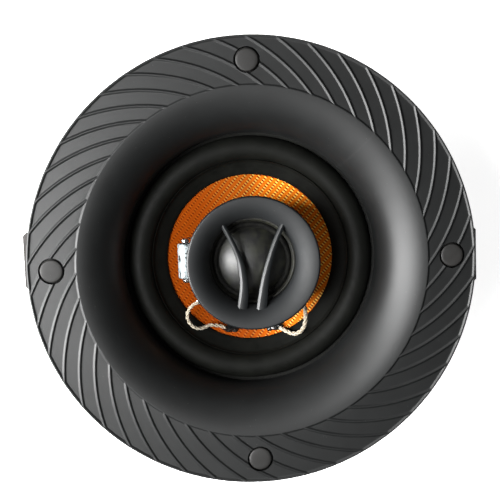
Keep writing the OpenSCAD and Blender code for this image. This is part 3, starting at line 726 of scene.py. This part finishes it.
def make_bezel():
    """Trumpet-shaped bezel whose ring carries raised ribs that sweep outward."""
    land = 0.14
    side = 0.58
    end_w = 0.62
    edge_r = 0.42
    step = TAU / RIB_COUNT
    half = [0, 0.07, 0.12, 0.18, 0.28, 0.43, 0.58, 0.67, 0.74, 0.82, 1.2]
    horn_c = (CREST_R, CREST_Z - HORN_R)
    ring_w = BEZEL_R - CREST_R

    def top_z(r):
        inside = np.clip(CREST_R - r, 0, HORN_R)
        return (CREST_Z - RIM_DROP * np.clip((r - CREST_R) / ring_w, 0, 1) ** 1.15
                - HORN_R + np.sqrt(HORN_R ** 2 - inside ** 2))

    # each station is (radius, height, share of a pocket's depth)
    rows = [(r, z, 0) for r, z in arc((CREST_R - HORN_R + 0.4, THROAT_END_Z + 0.4), 0.4, 260, 180, 3)]
    rows += [(CREST_R - HORN_R, z, 0) for z in (-10.6, -9.4)]
    rows += [(r, z, 0) for r, z in arc(horn_c, HORN_R, 180, 96, 30)]
    entry = POCKET_R0 + np.array([-0.3, -0.1, 0, 0.1, 0.2, 0.36, 0.5, 0.62, 0.75])
    exit_ = POCKET_R1 - np.array([0.75, 0.62, 0.5, 0.36, 0.2, 0.1, 0, -0.1])
    floor = np.linspace(entry[-1], exit_[0], 24)[1:-1]
    for r in (*entry, *floor, *exit_):
        inner = soft_step((r - POCKET_R0) / end_w)
        outer = soft_step((POCKET_R1 - r) / end_w)
        rows.append((r, top_z(r), float(min(inner, outer))))
    rim_top = float(top_z(BEZEL_R - edge_r))
    rows += [(r, z, 0) for r, z in arc((BEZEL_R - edge_r, rim_top - edge_r), edge_r, 90, 0, 4)]
    rows += [(BEZEL_R, z, 0) for z in (5.2, 3.4)]
    rows += [(r, z, 0) for r, z in arc((BEZEL_R - 0.25, SKIRT_Z + 0.25), 0.25, 0, -90, 3)]
    rows += [(SKIRT_INNER_R, SKIRT_Z, 0), (SKIRT_INNER_R, FLANGE_TOP_Z, 0)]
    rows += [(SKIRT_INNER_R - 1.5, FLANGE_TOP_Z, 0), (SKIRT_INNER_R - 1.5, 4.9, 0), (72, 6.1, 0)]
    rows += [(r, z, 0) for r, z in arc(horn_c, HORN_R - WALL, 91, 180, 16)]
    rows += [(CREST_R - HORN_R + WALL, THROAT_END_Z, 0)]

    r = np.array([row[0] for row in rows])[:, None]
    z = np.array([row[1] for row in rows])[:, None]
    along = np.array([row[2] for row in rows])[:, None]
    travel = np.clip((r - POCKET_R0) / (POCKET_R1 - POCKET_R0), 0, 1)
    slant = np.sqrt(1 + (r * RIB_SWEEP / (POCKET_R1 - POCKET_R0)) ** 2)
    pitch = r * step / slant
    # distances from the rib's middle, the last one halfway to the next rib
    offsets = half + [None] + [-h for h in reversed(half[1:])]
    angles = []
    distance = []
    for offset in offsets:
        d = pitch / 2 if offset is None else np.where(offset < 0, pitch + offset, offset + 0 * pitch)
        angles.append(d * slant / r)
        distance.append(np.minimum(np.abs(d), np.abs(pitch - d)))
    angles = np.concatenate(angles, 1)
    distance = np.concatenate(distance, 1)
    first = RIB_START + RIB_SWEEP * travel
    theta = np.concatenate([first + step * i + angles for i in range(RIB_COUNT)], 1)
    across = np.tile(soft_step((distance - land) / side), (1, RIB_COUNT))
    depth = POCKET_DEPTH * np.minimum(across, along)
    columns = theta.shape[1]
    points = np.stack([r * np.cos(theta), r * np.sin(theta), z - depth], -1).reshape(-1, 3)
    bezel = build("bezel", points, grid_faces(len(rows), columns), BEZEL_PLASTIC, 50)

    cutters = []
    hole = revolved([(0, 3), (RECESS_R, 3), (RECESS_R, 12), (0, 12)], 64)
    for i in range(SCREW_COUNT):
        cutters.append(at_screw(hole, i))
    box = [(3, 2, 1, 0), (4, 5, 6, 7), (0, 1, 5, 4), (1, 2, 6, 5), (2, 3, 7, 6), (3, 0, 4, 7)]
    for s, ear_y in EARS:
        x0, x1 = sorted([s * (BEZEL_R - 4), s * (BEZEL_R + 4)])
        y0, y1 = ear_y - NOTCH_HALF_W, ear_y + NOTCH_HALF_W
        plan = ((x0, y0), (x1, y0), (x1, y1), (x0, y1))
        cutters.append(([(x, y, z) for z in (0.5, FLANGE_TOP_Z + 0.1) for x, y in plan], box))
    cut = build("bezel_cutter", *merged(cutters), BEZEL_PLASTIC)
    modifier = bezel.modifiers.new("holes", "BOOLEAN")
    modifier.object = cut
    modifier.solver = "EXACT"
    apply_modifiers(bezel)
    bpy.data.objects.remove(cut)

    cup = [(SCREW_HOLE_R, 3.5), (6.4, 3.5), (6.4, 6.8), (RECESS_R, 6.8)]
    cup += [(RECESS_R, CAP_SEAT_Z), (SCREW_HOLE_R, CAP_SEAT_Z)]
    cup = revolved(rounded(cup, 0.15, 2), 64)
    cups = merged([at_screw(cup, i) for i in range(SCREW_COUNT)])
    cups = build("bezel_cups", *cups, BEZEL_PLASTIC, 35)
    join([bezel, cups])
    bezel.data.set_sharp_from_angle(angle=math.radians(50))
    return place(bezel, "frame", "bezel_plastic", "front_bezel")


def make_caps():
    """Four push-in caps with crowned tops and rounded edges."""
    top_r = RECESS_R - 0.58
    inner_r = 3.62
    edge_r = 0.6
    roof = 0.8
    skirt_h = 2.4
    low = cap_low[2]
    profile = [(inner_r, low), (CAP_SKIRT_R, low)]
    profile += arc((CAP_SKIRT_R - 0.15, low + skirt_h - 0.15), 0.15, 0, 90, 2)
    profile += [(top_r, low + skirt_h)]
    profile += arc((top_r - edge_r, CAP_TOP_Z - edge_r - 0.06), edge_r, 0, 82, 7)
    profile += [(top_r - 1.3, CAP_TOP_Z - 0.02), (1.5, CAP_TOP_Z), (0, CAP_TOP_Z)]
    profile += [(0, CAP_TOP_Z - roof), (inner_r, CAP_TOP_Z - roof)]
    cap = revolved(profile, 64)
    for i, side in enumerate(("right", "top", "left", "bottom")):
        node = "screw_cap_" + side
        place(build("cap_" + side, *at_screw(cap, i), CAP_PLASTIC, 35), node, "cap_plastic", node)


# ---- tweeter ----

def make_tweeter_horn():
    """Tweeter's own horn and barrel in one piece; its rim is polished like the fins."""
    c = (TWEETER_R - 0.6, TWEETER_Z - HORN2_R)
    throat_r = TWEETER_R - 0.3 - HORN2_R
    throat_z = -0.3
    rim_r = 0.65
    wall = 1.6
    profile = [(throat_r, throat_z)]
    for t in (0.4, 0.8):
        profile += [(throat_r + (c[0] - HORN2_R - throat_r) * ease(t), throat_z + (c[1] - throat_z) * t)]
    profile += arc(c, HORN2_R, 180, 90, 22)
    profile += arc((TWEETER_R - rim_r, TWEETER_Z - rim_r), rim_r, 84, 0, 7)
    profile += [(TWEETER_R, 8.1)]
    profile += arc((TWEETER_R - 0.3, 7.9), 0.3, 0, -50, 3)
    profile += [(BARREL_R + 0.15, 3.75), (BARREL_R, 3.3), (BARREL_R, -3)]
    profile += [(BARREL_R, BARREL_END_Z), (BARREL_R - wall, BARREL_END_Z), (BARREL_R - wall, 5.6)]
    profile += arc((TWEETER_R - 0.3, c[1]), HORN2_R - wall, 140, 180, 5)
    profile += [(throat_r + wall, throat_z)]
    horn = build("tweeter_horn", *revolved(profile, 180), TWEETER_PLASTIC, 40)
    horn.data.materials.append(FIN_PLASTIC)
    rim_start = TWEETER_R - 0.6
    for face in horn.data.polygons:
        if math.hypot(*face.center[:2]) > rim_start * MM:
            face.material_index = 1
    return place(horn, "frame", "tweeter_plastic", "tweeter_housing")


# plan routes of the fins' left edges, from top to bottom, and their widths there
LEFT_LAND = [(-11.8, 14.2), (-8.2, 6.6), (-6, 0.2), (-5.2, -6.9), (-5.7, -12.3), (-6.8, -17.9)]
RIGHT_LAND = [(11, 14.9), (7.6, 7.8), (4.8, 0.2), (2.8, -6.5), (1.5, -12.6), (0.4, -19)]
FACE_W = [2.1, 2.2, 2.5, 2.9, 3.5, 4]


def make_fin(name, land):
    """Curved blade across the tweeter's mouth: a bevel along its left edge and a wide flat face."""
    line = smooth_route([(x, y, w) for (x, y), w in zip(land, FACE_W)], 10)
    rows = []
    for x, y, w in line:
        rows.append([
            (x, y, 3.6), (x, y, 5.8), (x + 0.03, y, 5.95), (x + 0.1, y, 6.02), (x + 0.68, y, 6.43),
            (x + 0.78, y, 6.5), (x + 0.95, y, 6.54), (x + 0.5 * (w + 0.95), y, 6.5), (x + w - 0.4, y, 6.4),
            (x + w - 0.14, y, 6.3), (x + w, y, 6.1), (x + w, y, 3.6)])
    points = np.array(rows).reshape(-1, 3)
    columns = len(rows[0])
    faces = grid_faces(len(rows), columns, close_rows=False)
    faces.append(tuple(range(columns)))
    faces.append(tuple(len(points) - 1 - k for k in range(columns)))
    return place(build(name, points, faces, FIN_PLASTIC, 30), "frame", "tweeter_plastic")


def make_dome():
    """Thin cap of a ball, rim down."""
    thick = 0.22
    ball = (DOME_R ** 2 + DOME_H ** 2) / (2 * DOME_H)
    centre = DOME_Z + DOME_H - ball
    spread = math.degrees(math.asin(DOME_R / ball))
    outer = arc((0, centre), ball, 90, 90 - spread, 40)
    inner = arc((0, centre), ball - thick, 90 - spread, 90, 40)
    outer[0] = (0, outer[0][1])
    inner[-1] = (0, inner[-1][1])
    dome = build("dome", *revolved(outer + inner, 160), SILK, 60)
    return place(dome, "tweeter_diaphragm", "silk", "tweeter_dome")


def make_dome_surround():
    """Small roll round the dome, clamped at its outer edge."""
    z = DOME_Z - 0.2
    roll_c = (13.7, z)
    profile = [(16.0, z), (16.0, z + 0.3), (14.72, z + 0.3)]
    profile += arc(roll_c, 1.0, 18, 160, 13)
    profile += [(12.6, z + 0.36), (12.42, z + 0.4), (12.42, z + 0.22), (12.7, z + 0.14)]
    profile += arc(roll_c, 0.7, 168, 12, 12)
    profile += [(14.6, z + 0.05)]
    piece = build("dome_surround", *revolved(profile, 144), SILK_EDGE, 60)
    shares = 1 - ease((radii_of(piece) - 12.7) / 2)
    return stretch(piece, "tweeter_diaphragm", shares, "silk", "tweeter_surround")


def make_clamp_ring():
    """Thin ring that clamps the dome's edge, with a bevel on its inside."""
    corners = [(14.85, -1.1), (16.1, -1.1), (16.1, -0.3), (15.45, -0.3), (15.2, -0.6), (14.85, -0.9)]
    ring = build("clamp_ring", *revolved(rounded(corners, 0.12), 144), CLAMP_LACQUER, 60)
    return place(ring, "frame", "tweeter_plastic", "tweeter_clamp_ring")


# ---- cone and surround ----

def make_cone():
    """Woven cone: its relief follows the cloth, so the knots stand out of the face."""
    relief = 0.07
    thick = 0.7
    radii = np.linspace(CONE_NECK_R, CONE_R, 84)
    columns = 720
    angle = np.arange(columns) * TAU / columns
    r = radii[:, None]
    x = r * np.cos(angle)
    y = r * np.sin(angle)
    turn = math.radians(WEAVE_TURN)
    along = x * math.cos(turn) + y * math.sin(turn)
    across = y * math.cos(turn) - x * math.sin(turn)
    weave = np.sin(along * TAU / KNOT_PITCH) * (0.5 + 0.5 * np.sin(across * TAU / ROW_PITCH)) ** 2
    fade = np.clip(CONE_R - 0.6 - r, 0, 1)
    front = np.stack([x, y, cone_z(r) - 0.05 + relief * weave * fade], -1)
    back = np.stack([x, y, cone_z(r) - thick + 0 * x], -1)[::-1]
    points = np.concatenate([front, back]).reshape(-1, 3)
    cone = build("woven_cone", points, grid_faces(2 * len(radii), columns), ORANGE_WEAVE, 60)
    return place(cone, "cone_assembly", "orange_weave", "cone")


def make_surround():
    """Half-roll rubber surround with a flat flange and a sloping apron over the cone's edge."""
    thick = 0.7
    inner = ROLL_C - ROLL_R
    lip_z = cone_z(COVER_R) + 0.05
    profile = [(COVER_R, lip_z), (inner - 0.6, cone_z(inner - 0.6) + 0.05), (inner + thick, SEAT_Z)]
    profile += arc((ROLL_C, SEAT_Z), ROLL_R - thick, 178, 2, 28)
    profile += [(ROLL_C + ROLL_R - thick, SEAT_Z), (51, SEAT_Z)]
    profile += [(51, SEAT_Z + thick), (ROLL_C + ROLL_R + 0.25, SEAT_Z + thick)]
    profile += arc((ROLL_C, SEAT_Z), ROLL_R, 7, 160, 34)
    profile += [(inner + 0.02, cone_z(inner) + 1.5), (inner - 0.3, cone_z(inner - 0.3) + 1.16)]
    profile += [(inner - 0.6, cone_z(inner - 0.6) + 0.75), (inner - 1.1, cone_z(inner - 1.1) + 0.58)]
    profile += [(COVER_R + 1.5, cone_z(COVER_R + 1.5) + 0.55), (COVER_R + 0.25, cone_z(COVER_R + 0.25) + 0.5)]
    profile += [(COVER_R, cone_z(COVER_R) + 0.3)]
    piece = build("rubber_surround", *revolved(profile, 240), SURROUND_RUBBER, 50)
    shares = 1 - ease((radii_of(piece) - inner) / (2 * ROLL_R - thick))
    return stretch(piece, "cone_assembly", shares, "surround_rubber", "surround")


def make_spider():
    """Corrugated cloth damper under the cone."""
    ledge_z = -28.75
    ledge_r = 39
    thick = 0.45
    inner_r = 13.0
    outer_r = 35
    roll_count = 5
    roll_height = 0.9
    line = []
    for t in np.linspace(0, 1, 121):
        r = inner_r + 1 + (outer_r - inner_r - 1) * t
        line.append((r, ledge_z + 0.3 + roll_height * math.sin(TAU * roll_count * t)))
    profile = [(inner_r, ledge_z - 0.7), (inner_r, ledge_z + 1.8)]
    profile += [(inner_r + 0.35, ledge_z + 1.8), (inner_r + 0.5, ledge_z + 0.8)]
    profile += [(r, z + thick / 2) for r, z in line]
    profile += [(ledge_r, ledge_z + 0.5), (ledge_r, ledge_z), (outer_r + 0.2, ledge_z)]
    profile += [(r, z - thick / 2) for r, z in reversed(line)]
    profile += [(inner_r + 0.5, ledge_z - 0.7)]
    piece = build("cloth_spider", *revolved(profile, 200), DAMPER_CLOTH, 60)
    shares = 1 - ease((radii_of(piece) - inner_r - 1) / (outer_r - inner_r - 1))
    return stretch(piece, "cone_assembly", shares, "damper_cloth", "spider")


def make_boot():
    """Moulded rubber boot: dished back, rounded corner, a groove round its wall and a rounded lip."""
    boot_low, boot_high = extents("magnet_boot")
    low, high, radius = boot_low[2], boot_high[2], boot_high[0]
    ferrite_low, ferrite_high = extents("ferrite_magnet")
    grip = ferrite_high[0] + 0.05
    yoke_low = extents("yoke")[0][2]
    corner_r = 1.4
    lip_r = 0.6
    groove = radius - 0.4
    profile = [(0, low + 0.6), (24, low + 0.6), (24.8, low + 0.05), (25.4, low), (radius - corner_r, low)]
    profile += arc((radius - corner_r, low + corner_r), corner_r, -80, 0, 7)
    profile += [(radius, low + 4.9), (groove, low + 5.3), (groove, low + 6.3), (radius, low + 6.7)]
    profile += [(radius, high - 2)] + arc((radius - lip_r, high - lip_r), lip_r, 0, 90, 5)
    profile += [(grip, high), (grip, ferrite_low[2]), (grip - 2, ferrite_low[2])]
    profile += [(grip - 2, yoke_low), (0, yoke_low)]
    boot = build("rubber_boot", *revolved(profile, 180), BOOT_RUBBER, 35)
    return place(boot, "frame", "boot_rubber", "magnet_boot")


# ---- wiring ----

FRONT_LEFT_ROUTE = [
    (-20.8, -16, -8.4), (-23.2, -17.2, -8.2), (-25, -20.2, -9), (-24.6, -23.6, -9.6), (-22.4, -26, -10.2),
    (-19.6, -26.6, -11.4), (-16.6, -25.8, -12.8), (-13.4, -26.2, -13.9), (-10.7, -27.3, -14.9)]
FRONT_RIGHT_ROUTE = [
    (19.4, -17.8, -8.4), (20, -20.4, -8), (20.2, -24, -8.6), (19.4, -27.6, -9.2),
    (17.2, -29.8, -9.8), (14.8, -30, -11.2), (12.7, -29.2, -12.9), (10.7, -28.2, -14.7)]
REAR_LEFT_ROUTE = [
    (-9, -28, -19.1), (-9.1, -28.5, -20.5), (-9.5, -30.5, -22.2), (-10.4, -33.5, -23.1),
    (-11.8, -38.4, -23), (-12.8, -43.4, -22.8), (-13.8, -47.4, -24.2), (-14.4, -49.6, -26.8),
    (-14.4, -50, -29.2), (-14.2, -49.4, -31.2)]


def make_lead(name, node, route, fixed_first, radius=0.6):
    """Braided lead of three twisted bundles."""
    path = resampled(smooth_route(route, 12), 0.14)
    twist_pitch = 6.6
    fibre_pitch = 1.9

    def section(s, angle):
        twist = 3 * (angle - TAU * s / twist_pitch)
        fibres = 0.05 * np.cos(9 * (angle - TAU * s / fibre_pitch)) * radius
        fray = 1 + 0.05 * math.sin(s * 3.1) + 0.04 * math.sin(s * 7.7 + 1)
        return radius * fray * (0.66 + 0.36 * np.abs(np.cos(twist / 2))) + fibres

    piece = build(name, *swept(path, section, 24), BRAID, 80)
    points = vertices(piece)
    reach = np.array([np.argmin(((path[0] - p) ** 2).sum(1)) for p in points]) / (len(path[0]) - 1)
    shares = ease(reach) if fixed_first else 1 - ease(reach)
    return stretch(piece, "cone_assembly", shares, "braid", node)


def blob(centre, size, seed, lumps=0.16):
    """Round blob with gentle lumps, squashed to size."""
    work = bmesh.new()
    bmesh.ops.create_icosphere(work, subdivisions=4, radius=1)
    points = np.array([v.co for v in work.verts])
    faces = [tuple(v.index for v in f.verts) for f in work.faces]
    work.free()
    random = np.random.default_rng(seed)
    swell = np.ones(len(points))
    for _ in range(7):
        direction = random.normal(size=3)
        swell += lumps / 3 * np.sin(points @ direction * random.uniform(1.5, 3.5) + random.uniform(0, 6))
    return points * swell[:, None] * np.asarray(size) + np.asarray(centre), faces


def make_glue_blobs():
    """Two spots of cement where the front leads enter the cone."""
    parts = []
    for s, width in ((-1, 3.1), (1, 2.4)):
        x, y = 9 * s, -28
        z = cone_z(math.hypot(x, y))
        parts.append(blob((x, y, z + 0.1), (width, 1.6, 1.5), 5 + s))
        parts.append(blob((x + 1.6 * s, y + 0.5, z + 0.9), (1.3, 0.9, 1.0), 9 + s))
        parts.append(blob((x - 1.9 * s, y - 0.5, z + 0.1), (1.5, 1.2, 0.9), 14 + s))
    return place(build("glue_blobs", *merged(parts), GLUE, 80), "cone_assembly", "glue", "lead_glue")


def make_lugs():
    """Solder lugs that stick out under the tweeter, each with the lead soldered on."""
    parts = []
    low, high = extents("tweeter_lugs")
    outline = [(16.4, -1.3), (24.6, -1.3), (26.6, -0.7), (26.6, 0.7), (24.6, 1.3), (16.4, 1.3)]
    middle = 21
    ring = rounded(outline, 0.5, 3)
    layers = [(0.08, low[2]), (0, low[2] + 0.1), (0, high[2] - 0.1), (0.08, high[2])]
    for degrees, solder_r, seed in ((217.7, 25.6, 3), (-42.4, 25.4, 4)):
        a = math.radians(degrees)
        points = []
        for inset, z in layers:
            for x, y in ring:
                px = x - math.copysign(inset, x - middle)
                py = y - math.copysign(inset, y)
                points.append((px * math.cos(a) - py * math.sin(a), px * math.sin(a) + py * math.cos(a), z))
        count = len(ring)
        faces = grid_faces(len(layers), count, close_rows=False)
        faces.append(tuple(range(count)))
        faces.append(tuple(reversed(range(len(points) - count, len(points)))))
        parts.append((points, faces))
        solder = (solder_r * math.cos(a), solder_r * math.sin(a), high[2] + 0.25)
        parts.append(blob(solder, (1.5, 1.2, 0.75), seed, 0.2))
    return place(build("solder_lugs", *merged(parts), TIN, 45), "frame", "tin", "tweeter_lugs")


def make_capacitor():
    """Film capacitor lying along Y: shrunk film turned over its two ends, resin inside."""
    low, high = extents("capacitor")
    x, y, z = [(a + b) / 2 for a, b in zip(low, high)]
    radius = (high[0] - low[0]) / 2
    half = (high[1] - low[1]) / 2
    profile = [(0.0, -half + 0.55), (radius - 0.9, -half + 0.5), (radius - 0.7, -half + 0.1)]
    profile += [(radius - 0.4, -half), (radius - 0.12, -half + 0.15), (radius, -half + 0.6)]
    profile += [(radius - 0.05, -half + 1.4), (radius - 0.13, -half + 1.9), (radius - 0.02, -half + 2.5)]
    body = list(profile)
    for k in range(9):
        body.append((radius - 0.06 * math.sin(k * 1.9) ** 2, 0.85 * (k - 4)))
    body += [(r, -h) for r, h in reversed(profile)]
    columns = 72
    points = []
    for r, h in body:
        for k in range(columns):
            a = k * TAU / columns
            flat = r * (1 - 0.035 * math.cos(2 * a)) * (1 + 0.006 * math.sin(9 * a + h))
            points.append((x + flat * math.cos(a), y + h, z + r * math.sin(a)))
    faces = grid_faces(len(body), columns, close_rows=False)
    piece = build("capacitor_body", points, faces, FILM_WRAP, 50)
    return place(piece, "frame", "film_wrap", "capacitor")


def make_capacitor_wires():
    """The capacitor's two wires, with solder at its ends, bent back under the tweeter's cup."""
    low, high = extents("capacitor")
    x, y, z = [(a + b) / 2 for a, b in zip(low, high)]
    end = (high[1] - low[1]) / 2
    cup_z = extents("tweeter_cup")[0][2]
    wire_r = 0.38
    parts = []
    for s in (-1, 1):
        # sideways, past the capacitor's end, and height
        stops = [(0, -0.6, z), (0, 1, z), (0.2, 1.7, z - 1), (1, 1.7, z - 4), (2.2, 1.5, cup_z - 0.7),
                 (5, 1, cup_z - 0.9)]
        route = [(x + right, y + s * (end + past), height) for right, past, height in stops]
        parts.append(swept(resampled(smooth_route(route, 8), 0.3), lambda d, a: wire_r + 0 * a, 14))
        parts.append(blob((x, y + s * (end + 0.9), z - 0.1), (1.5, 1.1, 1.4), 21 + s, 0.12))
    return place(build("capacitor_wires", *merged(parts), TIN, 80), "frame", "tin", "capacitor_leads")


make_bezel()
make_caps()
make_tweeter_horn()
make_fin("tweeter_fin_left", LEFT_LAND)
make_fin("tweeter_fin_right", RIGHT_LAND)
make_dome()
make_dome_surround()
make_clamp_ring()
make_cone()
make_surround()
make_spider()
make_boot()
make_lead("lead_front_left", "front_lead_left", FRONT_LEFT_ROUTE, True, 0.68)
make_lead("lead_front_right", "front_lead_right", FRONT_RIGHT_ROUTE, True, 0.82)
make_lead("lead_rear_left", "rear_lead_left", REAR_LEFT_ROUTE, False)
make_lead("lead_rear_right", "rear_lead_right", [(-x, y, z) for x, y, z in REAR_LEFT_ROUTE], False)
make_glue_blobs()
make_lugs()
make_capacitor()
make_capacitor_wires()


# ---- studio ----

# name, tilt from the axis, direction, size in metres, watts
LAMPS = [
    ("softbox", 70, 184, (0.36, 1.8), 58),
    ("fill_top", 50, 97, (0.5, 0.5), 0.4),
    ("fill_bottom", 50, 263, (0.5, 0.5), 0.4),
]
LAMP_DISTANCE = 0.75
WORLD_LIGHT = 0.035
WORLD_SEEN = 0.9


def make_floor():
    """Plain white floor, partly lit from itself so that the speaker's shadow stays faint."""
    size = 3.0
    floor_z = cad_box[0].z
    mesh = bpy.data.meshes.new("floor")
    corners = [(-size, -size), (size, -size), (size, size), (-size, size)]
    mesh.from_pydata([(x, y, floor_z) for x, y in corners], [], [(0, 1, 2, 3)])
    obj = bpy.data.objects.new("floor", mesh)
    bpy.context.scene.collection.objects.link(obj)
    m = Material("floor", (0.8, 0.8, 0.8), 0.9)
    m.shader.inputs["Specular IOR Level"].default_value = 0
    m.shader.inputs["Emission Color"].default_value = (1, 1, 1, 1)
    m.shader.inputs["Emission Strength"].default_value = 0.85
    mesh.materials.append(m.data)


def make_area_light(name, place_at, aim, size, power):
    """Rectangular lamp at a place, turned to a point; all in metres and watts."""
    data = bpy.data.lights.new(name, "AREA")
    data.shape = "RECTANGLE"
    data.size, data.size_y = size
    data.energy = power
    obj = bpy.data.objects.new(name, data)
    bpy.context.scene.collection.objects.link(obj)
    obj.location = place_at
    direction = Vector(aim) - Vector(place_at)
    obj.rotation_euler = direction.to_track_quat("-Z", "Y").to_euler()


def make_studio():
    """A soft box on the left, a faint fill above and below, and low strips for the basket.

    The world is nearly dark as a light, and pale where the camera sees it.
    """
    world = bpy.data.worlds.new("studio")
    bpy.context.scene.world = world
    world.use_nodes = True
    background = world.node_tree.nodes["Background"]
    path = world.node_tree.nodes.new("ShaderNodeLightPath")
    strength = world.node_tree.nodes.new("ShaderNodeMapRange")
    strength.inputs["To Min"].default_value = WORLD_LIGHT
    strength.inputs["To Max"].default_value = WORLD_SEEN
    world.node_tree.links.new(path.outputs["Is Camera Ray"], strength.inputs["Value"])
    world.node_tree.links.new(strength.outputs["Result"], background.inputs["Strength"])
    background.inputs["Color"].default_value = (1, 1, 1, 1)
    for name, tilt, turn, size, power in LAMPS:
        tilt = math.radians(tilt)
        turn = math.radians(turn)
        aim = (math.sin(tilt) * math.cos(turn), math.sin(tilt) * math.sin(turn), math.cos(tilt))
        make_area_light(name, [LAMP_DISTANCE * v for v in aim], (0, 0, 0), size, power)
    for side, x in (("left", -0.5), ("right", 0.5)):
        make_area_light("strip_" + side, (x, 0, -0.03), (0, 0, -0.03), (0.8, 0.04), 0.1)


def make_camera():
    """Looks down on the front from 0.4 m, a little above and left of the axis, rolled by 2 degrees."""
    data = bpy.data.cameras.new("camera")
    camera = bpy.data.objects.new("camera", data)
    bpy.context.scene.collection.objects.link(camera)
    target = Vector((0, 0, CREST_Z * MM))
    distance = 0.4
    left, up, roll = math.radians(3.15), math.radians(6.28), math.radians(1.99)
    back = Vector((-math.tan(left), math.tan(up), 1)).normalized()
    right = Vector((0, 1, 0)).cross(back).normalized()
    above = back.cross(right)
    tilted_right = right * math.cos(roll) - above * math.sin(roll)
    tilted_up = above * math.cos(roll) + right * math.sin(roll)
    rotation = Matrix((tilted_right, tilted_up, back)).transposed()
    camera.matrix_world = Matrix.Translation(target + back * distance) @ rotation.to_4x4()
    view_width = 0.1825
    data.sensor_width = 36
    data.lens = 36 * distance / view_width
    data.shift_x = -0.0077
    data.shift_y = 0.0269
    data.clip_start = 0.01
    bpy.context.scene.camera = camera


make_floor()
make_studio()
make_camera()
bpy.context.scene.view_settings.view_transform = "Standard"
